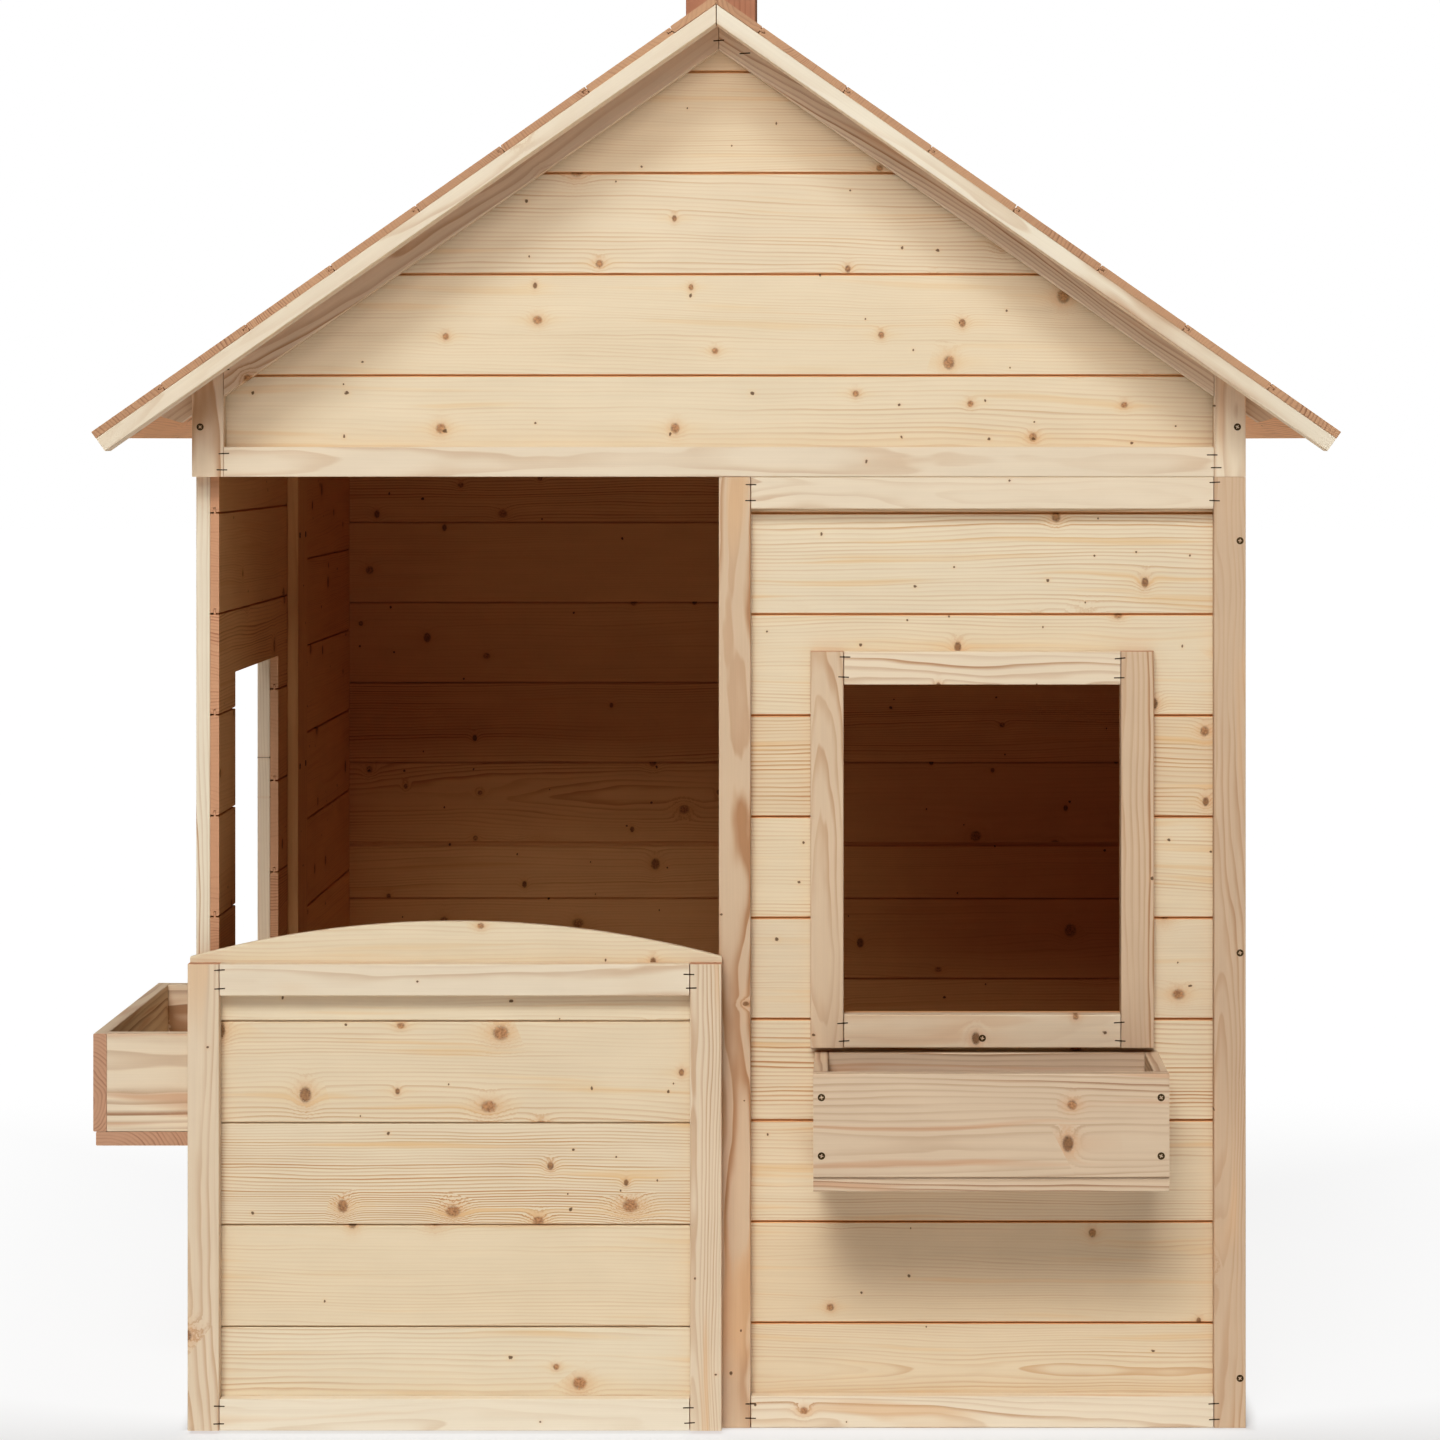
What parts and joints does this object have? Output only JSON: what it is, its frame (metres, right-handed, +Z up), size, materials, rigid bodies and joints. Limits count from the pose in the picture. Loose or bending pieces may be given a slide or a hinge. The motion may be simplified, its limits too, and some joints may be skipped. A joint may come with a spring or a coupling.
{
  "type": "timber playhouse",
  "caption": "Small timber playhouse with a pitched board roof, chimney, hinged half door with an arched top, window openings and hung flower boxes.",
  "frame": {"origin": "middle of the whole object's bounding box in plan, on the ground", "axes": "+Z up, -Y out of the front with the half door, +X to the right seen from the front"},
  "size_m": [1.4226, 1.33, 1.735],
  "materials": {
    "frame_timber": "untreated planed spruce battens, matt",
    "board_timber": "untreated planed spruce tongue-and-groove boards, matt",
    "roof_timber": "untreated spruce roof boards, matt, redder end grain",
    "planter_timber": "untreated spruce, greyer and pinker, matt",
    "chimney_timber": "reddish brown timber, matt",
    "hinge_steel": "dark steel hinge strip, satin"
  },
  "bodies": {
    "house": {"chimney_front_board": "chimney_timber", "chimney_left_board": "chimney_timber", "chimney_rear_board": "chimney_timber", "chimney_right_board": "chimney_timber", "door_post": "frame_timber", "front_gable_boards": "board_timber", "front_gable_frame": "frame_timber", "front_panel_boards": "board_timber", "front_panel_frame": "frame_timber", "front_planter_back_board": "planter_timber", "front_planter_bottom_board": "planter_timber", "front_planter_end_board_a": "planter_timber", "front_planter_end_board_b": "planter_timber", "front_planter_front_board": "planter_timber", "front_window_frame": "frame_timber", "hinge_fixed_leaf": "hinge_steel", "hinge_pin": "hinge_steel", "left_eave_board": "frame_timber", "left_front_bargeboard": "frame_timber", "left_front_panel_boards": "board_timber", "left_front_panel_frame": "frame_timber", "left_front_roof_batten": "frame_timber", "left_joint_batten": "frame_timber", "left_planter_back_board": "planter_timber", "left_planter_bottom_board": "planter_timber", "left_planter_end_board_a": "planter_timber", "left_planter_end_board_b": "planter_timber", "left_planter_front_board": "planter_timber", "left_rear_bargeboard": "frame_timber", "left_rear_panel_boards": "board_timber", "left_rear_panel_frame": "frame_timber", "left_rear_roof_batten": "frame_timber", "left_roof_boards": "roof_timber", "left_window_frame": "frame_timber", "rear_gable_boards": "board_timber", "rear_gable_frame": "frame_timber", "rear_joint_batten": "frame_timber", "rear_lower_left_panel_boards": "board_timber", "rear_lower_left_panel_frame": "frame_timber", "rear_lower_right_panel_boards": "board_timber", "rear_lower_right_panel_frame": "frame_timber", "rear_upper_left_panel_boards": "board_timber", "rear_upper_left_panel_frame": "frame_timber", "rear_upper_right_panel_boards": "board_timber", "rear_upper_right_panel_frame": "frame_timber", "right_eave_board": "frame_timber", "right_front_bargeboard": "frame_timber", "right_front_panel_boards": "board_timber", "right_front_panel_frame": "frame_timber", "right_front_roof_batten": "frame_timber", "right_joint_batten": "frame_timber", "right_rear_bargeboard": "frame_timber", "right_rear_panel_boards": "board_timber", "right_rear_panel_frame": "frame_timber", "right_rear_roof_batten": "frame_timber", "right_roof_boards": "roof_timber"},
    "half_door": {"door_boards": "board_timber", "door_frame": "frame_timber", "hinge_moving_leaf": "hinge_steel"}
  },
  "joints": [
    {"name": "half_door_hinge", "type": "hinge", "parent": "house", "child": "half_door", "pos_m": [-0.58109, -0.53275, 0], "axis": [0, 0, -1], "range_deg": [0, 170]}
  ]
}
